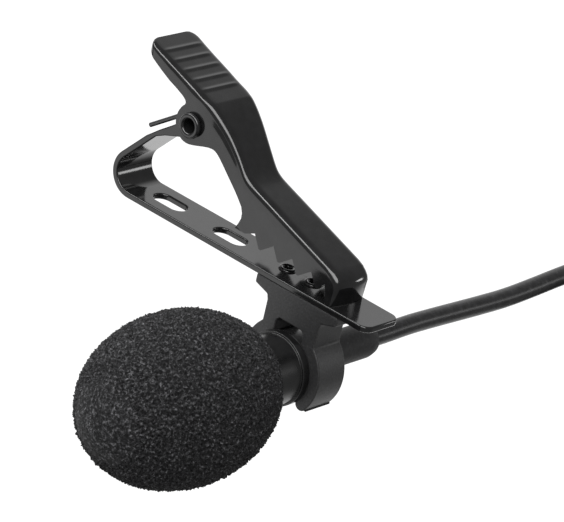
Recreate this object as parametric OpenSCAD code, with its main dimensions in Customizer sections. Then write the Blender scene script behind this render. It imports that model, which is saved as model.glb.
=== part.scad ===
/* [Clip] */
// Width of the lower strip
strip_w = 6; // [5:0.1:7]
// Thickness of the pressed sheet
sheet_t = 0.75; // [0.6:0.05:0.9]
// Length of the flat strip in front of the microphone axis
strip_front = 10.2; // [9:0.1:12]
// Distance from the microphone axis back to the centre of the bend
bend_back = 26.25; // [25:0.05:28]
// Outer radius of the bend
bend_r = 2.95; // [2.5:0.05:3.5]
// Radius of the lugs round the pivot, which sets the arm's slope
lug_r = 2.14; // [1.95:0.01:2.3]
// Length of the lugs beyond the web of the arm
lug_len = 5.6; // [5:0.1:6]
// Radius of the strip's front corners
strip_corner = 1.3; // [0.8:0.1:2]
// Length of each slot in the strip
slot_len = 4.6; // [4:0.1:5]
// Width of each slot in the strip
slot_w = 2.3; // [1.8:0.1:2.6]
// Distance from the microphone axis back to the front slot
slot_back = 12.86; // [12:0.1:14]
// Distance between the two slots
slot_pitch = 9.38; // [8:0.1:9.6]

/* [Pivot] */
// Distance from the microphone axis back to the pivot
pivot_back = 18.6; // [18:0.1:19]
// Height of the pivot above the gripping face
pivot_up = 11.9; // [11.6:0.1:12.2]
// Outer radius of the pivot rivet's shank
pivot_r = 1.1; // [1:0.05:1.15]
// Wall of the pivot rivet
pivot_wall = 0.3; // [0.2:0.05:0.4]
// Radius of the rolled rivet heads
pivot_head_r = 1.64; // [1.4:0.02:1.8]
// Height of the rolled rivet heads
pivot_head_h = 0.7; // [0.5:0.05:0.9]
// Running clearance round the pivot rivet
pivot_gap = 0.04; // [0.02:0.01:0.08]
// Radius of the lever's ears
ear_r = 2.45; // [2.2:0.05:2.6]

/* [Lever] */
// Half of the width over the lever's ears
ear_half = 3.85; // [3.7:0.05:4.2]
// Half of the width over the jaw
jaw_half = 2.9; // [2.8:0.05:3.3]
// Length of the thumb pad behind the pivot
pad_len = 8.8; // [8:0.1:10]
// Slope of the thumb pad, in degrees
pad_slope = 19.5; // [18:0.5:21]
// Number of crosswise ribs on the pad
ribs = 5; // [3:1:6]
// Distance between the ribs
rib_pitch = 1.66; // [1.2:0.02:1.7]
// Height of the ribs
rib_h = 0.22; // [0.1:0.02:0.3]
// Distance from one jaw tooth to the next
tooth_pitch = 2.87; // [2.6:0.05:3]
// Depth of the jaw teeth
tooth_depth = 1.25; // [0.8:0.05:1.4]
// Height of the nose above the strip when closed
nose_gap = 0.06; // [0.03:0.01:0.2]

/* [Spring] */
// Diameter of the spring wire
wire_d = 0.5; // [0.4:0.05:0.5]
// Number of full turns of the spring
spring_turns = 3; // [2:1:3]
// Distance from one turn to the next
spring_pitch = 1; // [0.95:0.01:1.05]
// Mean radius of the spring's coil
coil_r = 1.55; // [1.45:0.05:1.6]

/* [Holder] */
// Distance from the gripping face down to the microphone axis
mic_drop = 9.64; // [9.2:0.05:10.2]
// Outer radius of the holder's ring
ring_r = 5.6; // [5.4:0.05:5.8]
// Length of the ring along the microphone
ring_len = 4.6; // [4:0.1:5]
// How far the holder sits forward of the strip's middle
holder_fwd = 0.6; // [0.4:0.05:0.7]
// Half of the length of the holder's foot
foot_half = 6; // [5.6:0.05:6.4]
// Height of the foot's upright edge
foot_h = 1.1; // [0.9:0.05:1.3]
// Half of the width of the neck
neck_half = 3.85; // [3.6:0.05:4.2]
// Half of the width of the slot that lets the ring spring open
split_half = 1.95; // [1.5:0.05:2.2]
// Height of that slot above the bore
split_h = 1.3; // [0.9:0.1:1.8]
// Half of the angle of the ring's open mouth, in degrees
mouth_half = 53; // [40:1:60]
// Clearance between the ring and the microphone
ring_gap = 0.04; // [0.02:0.01:0.08]
// Radius of the rivets' flanges
eyelet_r = 1.08; // [0.9:0.02:1.2]
// Distance between the two rivets
eyelet_pitch = 3.8; // [3:0.1:4.2]
// Distance from the microphone axis back to the middle of the two rivets
eyelet_back = 2.2; // [2:0.1:2.4]

/* [Microphone] */
// Radius of the barrel inside the ring
barrel_r = 3.95; // [3.8:0.05:4.1]
// Radius of the collar that stops on the ring
collar_r = 4.32; // [4.2:0.02:4.6]
// Height of the collar
collar_h = 1.1; // [0.8:0.1:1.6]
// Radius of the head inside the windscreen
head_r = 4.05; // [3.9:0.05:4.2]
// Height of the head above the collar
head_h = 11; // [9:0.5:13]
// Wall of the barrel
barrel_wall = 0.55; // [0.4:0.05:0.7]
// Radius of the electret capsule
capsule_r = 3; // [2.8:0.05:3.05]
// Height of the electret capsule
capsule_h = 2.7; // [2:0.1:3]
// Radius of the strain relief
relief_r = 2.05; // [1.8:0.05:2.3]
// Length of the strain relief below the barrel
relief_len = 9.3; // [7:0.1:11]

/* [Windscreen] */
// Radius of the foam windscreen
foam_r = 9.6; // [8.5:0.1:10.5]
// Length of the foam windscreen
foam_len = 25.8; // [23:0.1:30]
// Clearance between the foam and the head
foam_gap = 0.3; // [0.25:0.05:0.5]

/* [Cord] */
// Diameter of the cord
cord_d = 2.3; // [2.1:0.05:2.4]
// Loops in each layer of the hank
hank_loops = 2; // [1:1:3]
// Length of the hank's straight runs
hank_run = 40; // [36:1:44]
// Radius of the hank's smallest loop
hank_in = 7; // [6.8:0.1:7.6]
// Distance between neighbouring loops of the hank
hank_step = 3.1; // [3:0.05:3.3]
// How far the hank is drawn in at its waist
hank_waist = 5; // [3:0.1:5.2]
// Wall of the strap round the hank
tie_t = 0.6; // [0.4:0.05:1]
// Width of the strap round the hank
tie_w = 4; // [3:0.5:6]
// Clearance between the strap and the hank
tie_gap = 0.35; // [0.3:0.05:0.6]

/* [Plug] */
// Radius of the plug's pin
pin_r = 1.75; // [1.7:0.01:1.8]
// Length of the plug's pin
pin_len = 14; // [13:0.1:15]
// Radius of the plug's barrel
plug_r = 3.6; // [3.2:0.1:4.5]
// Length of the plug's barrel
plug_len = 13; // [11:0.5:18]
// Length of the plug's strain relief
plug_relief = 8; // [6:0.5:12]

/* [Hidden] */
$fn = 96;

steel = "#2b2b2e";
plastic = "#1b1b1d";
brass = "#8c8c90";

pivot_x = -pivot_back;
pivot_y = pivot_up;
half_w = strip_w / 2;
bend_x = -bend_back;
bend_y = bend_r - sheet_t;

function turn(a) = [cos(a), sin(a)];
// The arm's outer face touches both the bend and the lug's round end.
arm_way = [pivot_x - bend_x, pivot_y - bend_y];
arm_angle = atan2(arm_way[1], arm_way[0]) - asin((bend_r - lug_r) / norm(arm_way));
arm_dir = turn(arm_angle);
arm_nrm = turn(arm_angle + 90);
arm_from = [bend_x, bend_y] + bend_r * arm_nrm;
// The web stops where the spring's lower leg has to pass.
web_end = ([pivot_x, pivot_y] - arm_from) * arm_dir - lug_len;

// Flat strip, bend and arm, seen from the side.
module strip_side() {
    translate([bend_x, -sheet_t]) square([strip_front + bend_back, sheet_t]);
    intersection() {
        difference() {
            translate([bend_x, bend_y]) circle(r = bend_r);
            translate([bend_x, bend_y]) circle(r = bend_r - sheet_t);
        }
        polygon([[bend_x, bend_y], [bend_x, bend_y - 2 * bend_r], [bend_x - 2 * bend_r, bend_y - 2 * bend_r],
                 [bend_x - 2 * bend_r, bend_y + bend_r], [bend_x, bend_y] + 2 * bend_r * arm_nrm]);
    }
    translate(arm_from) rotate(arm_angle) translate([0, -sheet_t]) square([web_end, sheet_t]);
    // Inside the sheet, these two carry the bend over into the strip and the arm.
    translate([bend_x - 0.3, 0.1 - sheet_t]) square([0.6, sheet_t - 0.2]);
    translate(arm_from) rotate(arm_angle) translate([-0.3, 0.1 - sheet_t]) square([0.6, sheet_t - 0.2]);
}

// One lug's side: the arm's line runs on and touches the round end at the pivot.
module lug_side() {
    a = arm_from + (web_end - 0.9) * arm_dir;
    union() {
        translate([pivot_x, pivot_y]) circle(r = lug_r - 0.03);
        polygon([a, [pivot_x, pivot_y] + lug_r * arm_nrm, [pivot_x, pivot_y],
                 [pivot_x, pivot_y] + (lug_r - 0.2) * turn(-100), a + 1.3 * arm_dir - 1.25 * arm_nrm, a - sheet_t * arm_nrm]);
    }
}

module slot_hole(x) {
    translate([x, 1, 0]) rotate([90, 0, 0]) linear_extrude(sheet_t + 2) {
        translate([-(slot_len - slot_w) / 2, 0]) circle(d = slot_w);
        translate([(slot_len - slot_w) / 2, 0]) circle(d = slot_w);
        square([slot_len - slot_w, slot_w], center = true);
    }
}

eyelet_x = [-eyelet_pitch / 2 - eyelet_back, eyelet_pitch / 2 - eyelet_back];
shank_r = eyelet_r * 0.68;
shank_len = sheet_t + foot_h + 0.1;

module lower_jaw() color(steel) {
    difference() {
        union() {
            translate([0, 0, -half_w]) linear_extrude(strip_w) strip_side();
            for (s = [-1, 1]) {
                translate([0, 0, s * (half_w - sheet_t / 2) - sheet_t / 2]) linear_extrude(sheet_t) lug_side();
            }
        }
        // Rounded front corners
        for (s = [-1, 1]) {
            translate([strip_front - strip_corner, 1, s * (half_w - strip_corner)]) rotate([90, 0, 0])
                linear_extrude(sheet_t + 2) difference() {
                    translate([0, s > 0 ? 0 : -2 * strip_corner]) square(2 * strip_corner);
                    circle(r = strip_corner + 0.01);
                }
        }
        slot_hole(-slot_back);
        slot_hole(-slot_back - slot_pitch);
        for (x = eyelet_x) {
            translate([x, 1, 0]) rotate([90, 0, 0]) cylinder(r = shank_r + 0.01, h = sheet_t + 2);
        }
        translate([pivot_x, pivot_y, -half_w - 1]) cylinder(r = pivot_r + 0.02, h = strip_w + 2);
    }
}

// Key points of the lever's side view, from the pad's end to the nose.
pad_knee = [pivot_x + 1.2, pivot_y + 3.08];
pad_end = pad_knee + (pad_len + 1.2) * [-cos(pad_slope), sin(pad_slope)];
waist_top = pad_knee + [2.1, -2.05];
waist_low = pad_knee + [7, -6.3];
jaw_drop = tan(18.6);
nose_x = 5.5;
nose_top = [nose_x - 2.4, waist_low[1] - (nose_x - 2.4 - waist_low[0]) * jaw_drop];
tooth_x = 2.25;
tip_y = 1.27;
function tip(i) = [tooth_x - i * tooth_pitch, tip_y + i * 0.22];
function root(i) = tip(i) + [1.75, tooth_depth];
last = 3;
heel = tip(last) + [-tooth_pitch * 1.4, 0.85];

// Whole side of the lever as one outline: the top, the flanges, the ears and the teeth.
module lever_side() {
    union() {
        polygon(concat(
                [pad_end, pad_knee, waist_top, waist_low, nose_top],
                [nose_top + [1.2, -0.5], nose_top + [1.95, -1.15], nose_top + [2.32, -1.9], nose_top + [2.4, -2.7]],
                [[nose_x, nose_gap], [nose_x - 1.4, nose_gap], [nose_x - 2.15, 2.1]],
                [for (i = [0:last]) each [tip(i) + [0.15, 0], tip(i) + [-0.15, 0], root(i + 1)]],
                [heel + [1.55, 0], heel, heel + [0, 0.6], heel + [0.55, 1.35], heel + [0.6, 2.05], heel + [0.3, 2.75]],
                [heel + [-2.15, 5.05], heel + [-3.85, 6.8], heel + [-4.5, 7.6], heel + [-5.4, 7.9]],
                [[pivot_x, pivot_y - ear_r], [pivot_x, pivot_y], [pivot_x - 1.4, pivot_y + 2.6]],
                [pad_end + [6.95, -4.1], pad_end + [5.4, -3.45], pad_end + [3, -2.6], pad_end + [1.1, -1.1]]
        ));
        translate([pivot_x, pivot_y]) circle(r = ear_r);
    }
}

// Plan of the lever, narrow at the jaw and wide at the ears and the pad.
module lever_plan(inset = 0) {
    e = ear_half - inset;
    j = jaw_half - inset;
    f = nose_x - inset;
    r = 4.6;
    c = inset > 0 ? 0 : 1.4;
    back = pad_end[0] - (inset > 0 ? 1 : 0);
    difference() {
        polygon([[back, -e], [back, e], [waist_top[0], e], [waist_top[0] + 2.6, j],
                 [f + 1, j], [f + 1, -j], [waist_top[0] + 2.6, -j], [waist_top[0], -e]]);
        translate([f - r, 0]) difference() {
            translate([2.5, -5]) square([6, 10]);
            circle(r = r);
        }
        if (c > 0) for (s = [-1, 1]) {
            translate([back + c, s * (e - c)]) difference() {
                translate([-c - 1, s > 0 ? 0 : -c - 1]) square(c + 1);
                circle(r = c);
            }
        }
    }
}

module from_side(h) translate([0, 0, -h]) linear_extrude(2 * h) children();
module from_top() translate([0, 60, 0]) rotate([90, 0, 0]) linear_extrude(80) children();

module upper_jaw() color(steel) {
    difference() {
        union() {
            difference() {
                intersection() {
                    from_side(ear_half + 1) lever_side();
                    from_top() lever_plan();
                }
                intersection() {
                    from_side(ear_half + 1) lever_hollow();
                    from_top() lever_plan(sheet_t);
                }
            }
            for (i = [0:ribs - 1]) {
                p = pad_knee + (1.5 + i * rib_pitch) * [-cos(pad_slope), sin(pad_slope)];
                translate([p[0], p[1] - 0.35 + rib_h, -ear_half + 0.75]) cylinder(r = 0.35, h = 2 * ear_half - 1.5);
            }
        }
        translate([pivot_x, pivot_y, -ear_half - 1]) cylinder(r = pivot_r + pivot_gap, h = 2 * ear_half + 2);
    }
}

// The space under the lever's sheet, open at the pad's end and below.
module lever_hollow() {
    t = sheet_t;
    up = t / cos(pad_slope);
    polygon([pad_end + [-2, 2 * tan(pad_slope) - up], pad_knee + [-0.16, -up], waist_top + [-0.5, -0.62],
             waist_low + [-0.3, -0.86], nose_top + [-0.1, -t / cos(18.6)], [nose_x - t - 0.6, nose_top[1] - 1.3],
             [nose_x - t, nose_top[1] - 2], [nose_x - t, -2], [-12, -2], [-32, 8]]);
}

module pivot_rivet() color(brass) {
    h = ear_half;
    k = (pivot_head_r - (pivot_r - pivot_wall)) / 2;
    translate([pivot_x, pivot_y, 0]) rotate_extrude() {
        translate([pivot_r - pivot_wall, -h - pivot_head_h + k]) square([pivot_wall, 2 * (h + pivot_head_h - k)]);
        for (s = [-1, 1]) {
            intersection() {
                translate([pivot_head_r - k, s * (h + pivot_head_h - k)]) circle(r = k);
                translate([0, s > 0 ? h + 0.03 : -h - 3.03]) square([4, 3]);
            }
            translate([pivot_head_r - k, s * (h + 0.03 + (pivot_head_h - k) / 2)])
                square([k * 1.6, pivot_head_h - k - 0.06], center = true);
        }
    }
}

function unit(v) = v / norm(v);
function along(p, i) = unit(p[min(i + 1, len(p) - 1)] - p[max(i - 1, 0)]);
// One tube swept along points; ref is a direction that no part of the route follows.
module tube(p, d, sides, ref) {
    n = len(p);
    pts = [for (i = [0:n - 1]) let (t = along(p, i), u = unit(cross(ref, t)), v = cross(t, u))
            for (k = [0:sides - 1]) p[i] + d / 2 * (cos(360 * k / sides) * u + sin(360 * k / sides) * v)];
    caps = [[for (k = [sides - 1:-1:0]) k], [for (k = [0:sides - 1]) (n - 1) * sides + k]];
    skin = [for (i = [0:n - 2], k = [0:sides - 1]) let (a = i * sides + k, b = i * sides + (k + 1) % sides)
            each [[a, b, b + sides], [a, b + sides, a + sides]]];
    polyhedron(points = pts, faces = [for (f = concat([for (c = caps) each fan(c)], skin)) [f[2], f[1], f[0]]]);
}
function fan(c) = [for (k = [1:len(c) - 2]) [c[0], c[k], c[k + 1]]];

// Torsion spring: a leg on the arm, the coil round the rivet, and a leg under the pad.
leg_low = arm_angle + 168.5;
leg_high = 137;
coil_from = leg_low - 90;
coil_to = leg_high + 90;
coil_sweep = 360 * spring_turns + (coil_to - coil_from);
coil_half = spring_pitch * coil_sweep / 720;
function coil_at(a) = [pivot_x + coil_r * cos(coil_from + a), pivot_y + coil_r * sin(coil_from + a),
                       coil_half - 2 * coil_half * a / coil_sweep];
function leg(p, a, s) = p + [s * cos(a), s * sin(a), 0];
spring_path = concat(
    [for (s = [8.2, 7.6, 4, 0.6]) leg(coil_at(0), leg_low, s)],
    [for (a = [0:45:coil_sweep - 10]) coil_at(a)],
    [for (s = [0, 0.6, 4, 6.8, 7.3]) leg(coil_at(coil_sweep), leg_high, s)]);
module torsion_spring() color(brass) tube(spring_path, wire_d, 6, [0, 0, 1]);

foot_y = -sheet_t - foot_h;
jaw_mid = (ring_r + barrel_r + ring_gap) / 2;
jaw_end = (ring_r - barrel_r - ring_gap) / 2 - 0.02;
split_c = 0.35;
split_top = barrel_r + ring_gap + split_h;
// Plan of the holder, across the microphone.
module holder_plan() {
    difference() {
        union() {
            polygon([[-foot_half, -sheet_t], [-foot_half, foot_y], [-neck_half - 0.2, foot_y - 0.6],
                     [-neck_half, foot_y - 1.2], [-neck_half, -mic_drop], [neck_half, -mic_drop],
                     [neck_half, foot_y - 1.2], [neck_half + 0.2, foot_y - 0.6], [foot_half, foot_y],
                     [foot_half, -sheet_t]]);
            translate([0, -mic_drop]) circle(r = ring_r);
        }
        translate([0, -mic_drop]) circle(r = barrel_r + ring_gap);
        // Mouth of the ring, between its two jaws, which end in round lips
        translate([0, -mic_drop]) difference() {
            polygon([[0, 0], 9 * turn(-90 - mouth_half), [0, -16], 9 * turn(-90 + mouth_half)]);
            for (s = [-1, 1]) translate(jaw_mid * turn(-90 + s * mouth_half)) circle(r = jaw_end);
        }
        // Slot from the bore up, with cut corners
        translate([0, -mic_drop])
            polygon([[-split_half, 0], [-split_half, split_top - split_c], [split_c - split_half, split_top],
                     [split_half - split_c, split_top], [split_half, split_top - split_c], [split_half, 0]]);
    }
}

module mic_holder() color(plastic) difference() {
    translate([0, 0, holder_fwd - ring_len / 2]) linear_extrude(ring_len) holder_plan();
    for (x = eyelet_x) {
        translate([x, 0, 0]) rotate([90, 0, 0]) cylinder(r = shank_r + 0.01, h = shank_len + 0.05);
    }
}

module eyelet(x) {
    translate([x, 0, 0]) rotate([90, 0, 0]) {
        difference() {
            union() {
                cylinder(r = shank_r, h = shank_len);
                translate([0, 0, -0.3]) cylinder(r = eyelet_r, h = 0.3);
            }
            translate([0, 0, -1]) cylinder(r = shank_r - 0.25, h = shank_len + 0.6);
        }
    }
}
module rear_rivet() color(brass) eyelet(eyelet_x[0]);
module front_rivet() color(brass) eyelet(eyelet_x[1]);

// Heights along the microphone, from the middle of the ring.
ring_top = holder_fwd + ring_len / 2;
collar_top = ring_top + collar_h;
head_top = collar_top + head_h;
barrel_low = holder_fwd - ring_len / 2 - 1.9;
bore_r = head_r - barrel_wall;
module on_mic() translate([0, -mic_drop, 0]) children();

module mic_barrel() color(steel) on_mic() difference() {
    rotate_extrude() polygon([[0, barrel_low], [barrel_r - 0.5, barrel_low], [barrel_r, barrel_low + 0.5],
        [barrel_r, ring_top], [collar_r, ring_top], [collar_r, collar_top - 0.15], [collar_r - 0.15, collar_top],
        [head_r, collar_top], [head_r, head_top - 0.3], [head_r - 0.3, head_top], [0, head_top]]);
    translate([0, 0, barrel_low + 0.8]) cylinder(r = bore_r - 0.2, h = head_top);
    translate([0, 0, collar_top]) cylinder(r = bore_r, h = head_h + 1);
    translate([0, 0, barrel_low - 1]) cylinder(r = relief_r + 0.02, h = 3);
}

grille_t = 0.5;
felt_t = 0.4;
grille_low = head_top - grille_t - 0.1;
felt_low = grille_low - felt_t;
capsule_low = felt_low - capsule_h;
board_t = 0.8;
board_low = capsule_low - 1.2 - board_t;
module front_grille() color(steel) on_mic() difference() {
    translate([0, 0, grille_low]) cylinder(r = bore_r - 0.01, h = grille_t);
    for (ring = [[0, 1], [1.1, 6], [2.2, 12]], k = [0:ring[1] - 1]) {
        rotate(360 * k / ring[1]) translate([ring[0], 0, grille_low - 1]) cylinder(r = 0.3, h = 3, $fn = 24);
    }
}
module felt_disc() color(plastic) on_mic() translate([0, 0, felt_low]) cylinder(r = bore_r - 0.1, h = felt_t);
module electret_capsule() color("#b0b0b4") on_mic() {
    translate([0, 0, capsule_low]) cylinder(r = capsule_r, h = capsule_h);
}
module capsule_boot() color(plastic) on_mic() difference() {
    translate([0, 0, capsule_low - 0.6]) cylinder(r = bore_r - 0.02, h = capsule_h + 0.6);
    translate([0, 0, capsule_low]) cylinder(r = capsule_r, h = capsule_h + 1);
    translate([0, 0, capsule_low - 2]) cylinder(r = capsule_r - 0.8, h = 3);
}
module circuit_board() color("#1f4d33") on_mic() difference() {
    union() {
        translate([0, 0, board_low]) cylinder(r = bore_r - 0.05, h = board_t);
        for (s = [-1, 1]) {
            translate([s * 1.2, 0, board_low]) cylinder(r = 0.25, h = capsule_low - board_low);
        }
    }
    for (s = [-1, 1]) {
        translate([s * 0.6, 1.2, board_low - 1]) cylinder(r = 0.36, h = 3);
    }
}
relief_top = barrel_low + 1.4;
module signal_wires() color("#c8c8c8") on_mic() for (s = [-1, 1]) {
    translate([s * 0.6, 1.2, relief_top]) cylinder(r = 0.35, h = board_low + board_t - relief_top);
}
relief_low = barrel_low - relief_len;
module strain_relief() color(plastic) on_mic() rotate_extrude() {
    polygon([[0, relief_top], [bore_r - 0.25, relief_top], [bore_r - 0.25, barrel_low + 0.8],
             [relief_r, barrel_low + 0.8], [relief_r, relief_low + 1.2], [relief_r - 0.35, relief_low + 0.4],
             [cord_d / 2 + 0.15, relief_low], [0, relief_low]]);
}

// Windscreen: an egg of foam with a round mouth and a socket for the head.
foam_mid = collar_top + 2.7 + foam_len / 2;
mouth_r = 5.6;
module foam_windscreen() color("#17171a") on_mic() {
    a = foam_len / 2;
    low = asin(-sqrt(1 - pow(mouth_r / foam_r, 2)));
    rotate_extrude() polygon(concat(
        [for (t = [low:(90 - low) / 36:89.9]) [foam_r * cos(t), foam_mid + a * sin(t)]],
        [[0, foam_mid + a], [0, head_top + foam_gap], [head_r + foam_gap, head_top + foam_gap],
         [head_r + foam_gap, foam_mid + a * sin(low)]]));
}

// Cord: free stretch, hank, tail and plug, hanging straight down.
cord_x = 0;
cord_pts = [[0, 0, 0], [0, 0, -2.5], [0, 0.1, -7], [0, 0, -11], [0, -0.2, -16], [0, -0.4, -21], [0, -0.5, -26],
            [0, -0.3, -31], [0, 0, -36], [0, 0.2, -41], [0, 0.3, -46], [0, 0.3, -51], [0, 0.3, -55.5]];
cord_from = [0, -mic_drop, relief_low];
module cable() color("#1c1c1e") tube([for (q = cord_pts) cord_from + q], cord_d, 8, [1, 0, 0]);

// Hank: four flat layers of loops; a turn is 24 steps, with the waist of a run at every whole turn.
hank_out = hank_in + hank_loops * hank_step;
hank_turns = 4 * hank_loops;
layer_step = cord_d + 0.5;
hank_start = cord_from + cord_pts[len(cord_pts) - 1];
hank_mid = hank_start + [0, -hank_out, -cord_d - hank_run / 2];
function clamp01(x) = max(0, min(1, x));
function ease(x) = let (y = clamp01(x)) y * y * (3 - 2 * y);
function wave(t) = let (c = max(0, min(hank_turns, t)), q = c / hank_loops, k = floor(q), f = q - k)
    (k % 2 == 0) ? hank_out - hank_loops * hank_step * f : hank_in + hank_loops * hank_step * f;
function layer(t) = ease((t - hank_loops) * 6 + 0.5) + ease((t - 2 * hank_loops) * 6 + 0.5)
    + ease((t - 3 * hank_loops) * 6 + 0.5);
function flat(s, r) = s <= 2 ? [r - hank_waist * (1 + cos(180 * s / 2)) / 2, -hank_run * s / 4]
    : s <= 10 ? [r * cos(22.5 * (s - 2)), -hank_run / 2 - r * sin(22.5 * (s - 2))]
    : s <= 14 ? [-r + hank_waist * (1 + cos(90 * (s - 12))) / 2, hank_run * (s - 12) / 4]
    : s <= 22 ? [-r * cos(22.5 * (s - 14)), hank_run / 2 + r * sin(22.5 * (s - 14))]
    : [r - hank_waist * (1 + cos(90 * (s - 24))) / 2, -hank_run * (s - 24) / 4];
function hank_at(k) = let (t = k / 24, s = k - 24 * floor(t), q = flat(s, wave(t)))
    hank_mid + [layer(t) * layer_step, q[0], q[1]];
hank_path = concat([hank_start], [for (k = [-2:24 * hank_turns + 2]) hank_at(k)],
                   [hank_at(24 * hank_turns + 2) + [0, 0, -cord_d]]);
module cable_hank() color("#1c1c1e") tube(hank_path, cord_d, 6, [1, 0, 0]);

// Least clear gap between parts of a tube that are more than a given count of points apart.
function finer(p, m) = [for (i = [0:len(p) - 2], k = [0:m - 1]) p[i] + (p[i + 1] - p[i]) * k / m];
function least(p, d, apart) = min([for (i = [0:len(p) - 1 - apart])
    min([for (j = [i + apart:len(p) - 1]) norm(p[i] - p[j])])]) - d;

// Strap round the hank's waist, which widens by tie_flare under the strap's half width
tie_flare = tie_w / 2 * (hank_waist / 2) / (hank_run / 4);
tie_in_y = hank_out - hank_waist + cord_d / 2 + tie_gap + tie_flare;
tie_in_x = (3 * layer_step + cord_d) / 2 + tie_gap;
module tie_ring(grow) {
    r = cord_d / 2 + tie_gap;
    x = tie_in_x - r;
    y = tie_in_y - r;
    for (a = [-1, 1], b = [-1, 1]) {
        translate([a * x, b * y]) circle(r = r + grow);
    }
    square([2 * (x + r + grow), 2 * y], center = true);
    square([2 * x, 2 * (y + r + grow)], center = true);
}
module cable_tie() color("#232326") {
    translate([hank_mid[0] + 1.5 * layer_step, hank_mid[1], hank_mid[2] - tie_w / 2]) linear_extrude(tie_w)
        difference() {
            tie_ring(tie_t);
            tie_ring(0);
        }
}

tail_from = hank_path[len(hank_path) - 1];
tail_pts = [[0, 0, 0], [0, 0, -2.5], [0, 0.3, -7], [0, 0.8, -12], [0, 0.8, -17], [0, 0.8, -19.5]];
module cable_tail() color("#1c1c1e") tube([for (q = tail_pts) tail_from + q], cord_d, 8, [1, 0, 0]);

plug_top = tail_from + tail_pts[len(tail_pts) - 1];
module on_plug() translate([plug_top[0], plug_top[1], plug_top[2]]) children();
boot_low = -plug_relief;
shell_low = boot_low - plug_len;
pin_low = shell_low - pin_len;
gap_w = 0.7;
tip_len = 3.6;
ring_w = 2.4;
core_r = 0.55;
bush_r = 1.15;
tip_top = pin_low + tip_len;
ring_low = tip_top + gap_w;
ring_high = ring_low + ring_w;
sleeve_low = ring_high + gap_w;
module plug_relief_boot() color(plastic) on_plug() rotate_extrude() {
    polygon([[0, 0], [cord_d / 2 + 0.4, 0], [plug_r * 0.66, boot_low], [plug_r * 0.66, boot_low - 2], [0, boot_low - 2]]);
}
module plug_barrel() color(steel) on_plug() difference() {
    rotate_extrude() polygon([[0, boot_low], [plug_r - 0.5, boot_low], [plug_r, boot_low - 0.6],
        [plug_r, shell_low + 0.4], [plug_r - 0.4, shell_low], [0, shell_low]]);
    translate([0, 0, boot_low - 2.02]) cylinder(r = plug_r * 0.66 + 0.02, h = 4);
    translate([0, 0, shell_low - 1]) cylinder(r = root_r, h = 4);
}
root_r = 1.55;
module pin_band(low, high, inside = 0) difference() {
    union() {
        translate([0, 0, low]) cylinder(r = pin_r, h = high - low);
        if (inside > 0) translate([0, 0, low]) cylinder(r = root_r, h = high - low + inside);
    }
    translate([0, 0, low - 1]) cylinder(r = bush_r, h = high - low + inside + 2);
}
module plug_sleeve() color("#c9c9cc") on_plug() pin_band(sleeve_low, shell_low, 3);
module plug_ring() color("#c9c9cc") on_plug() pin_band(ring_low, ring_high);
module plug_tip() color("#c9c9cc") on_plug() rotate_extrude() {
    polygon([[0, tip_top], [pin_r, tip_top], [pin_r, tip_top - 0.5], [pin_r * 0.72, tip_top - 1.3],
             [pin_r * 0.95, tip_top - 2.2], [pin_r * 0.3, pin_low], [0, pin_low]]);
}
module plug_insulators() color("#111113") on_plug() difference() {
    union() {
        translate([0, 0, tip_top]) cylinder(r = bush_r, h = shell_low + 3 - tip_top);
        for (z = [tip_top, ring_high]) {
            translate([0, 0, z]) cylinder(r = pin_r, h = gap_w);
        }
    }
    translate([0, 0, tip_top - 1]) cylinder(r = core_r, h = pin_len + 10);
}
module plug_core() color("#c9a860") on_plug() translate([0, 0, tip_top]) cylinder(r = core_r, h = shell_low + 3 - tip_top);

union() {  // cable_hank
    echo(hank_gap_mm = least(finer(hank_path, 3), cord_d, 6));
    echo(cord_length_mm = [for (p = [hank_path, cord_pts, tail_pts])
        [for (i = [1:len(p) - 1]) norm(p[i] - p[i - 1])] * [for (i = [1:len(p) - 1]) 1]]);
}
echo(spring_gap_mm = least(finer(spring_path, 3), wire_d, 14));  // torsion_spring

lower_jaw();
upper_jaw();
pivot_rivet();
torsion_spring();
mic_holder();
rear_rivet();
front_rivet();
mic_barrel();
front_grille();
felt_disc();
electret_capsule();
capsule_boot();
circuit_board();
signal_wires();
strain_relief();
foam_windscreen();
cable();
cable_hank();
cable_tie();
cable_tail();
plug_relief_boot();
plug_barrel();
plug_sleeve();
plug_ring();
plug_tip();
plug_insulators();
plug_core();
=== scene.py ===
import math

import bmesh
import bpy
from mathutils import Matrix, Vector, noise


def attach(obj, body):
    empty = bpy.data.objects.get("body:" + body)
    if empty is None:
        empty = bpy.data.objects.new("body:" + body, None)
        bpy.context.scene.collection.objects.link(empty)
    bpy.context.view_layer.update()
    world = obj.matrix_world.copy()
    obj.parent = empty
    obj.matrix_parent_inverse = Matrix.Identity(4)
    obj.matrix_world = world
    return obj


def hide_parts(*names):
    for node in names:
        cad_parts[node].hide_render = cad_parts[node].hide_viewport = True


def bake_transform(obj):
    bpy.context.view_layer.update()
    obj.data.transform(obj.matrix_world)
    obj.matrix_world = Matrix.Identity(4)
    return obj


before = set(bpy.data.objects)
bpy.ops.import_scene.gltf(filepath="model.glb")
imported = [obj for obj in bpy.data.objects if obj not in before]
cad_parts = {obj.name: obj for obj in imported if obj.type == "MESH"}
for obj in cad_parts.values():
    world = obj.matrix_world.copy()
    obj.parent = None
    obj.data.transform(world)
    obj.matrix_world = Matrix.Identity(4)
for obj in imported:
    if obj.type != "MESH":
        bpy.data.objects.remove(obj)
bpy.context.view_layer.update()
mm = 0.001  # the plans are in millimetres, the meshes in metres
print("frame loaded")

# Camera
view = {
    "eye": (0.210405, 0.163929, 0.296318),
    "right": (0.7329, 0.2080, -0.6478),
    "up": (-0.4175, 0.8893, -0.1868),
    "lens": 230.84, "sensor": 36, "near": 0.01, "far": 20,
}


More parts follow.
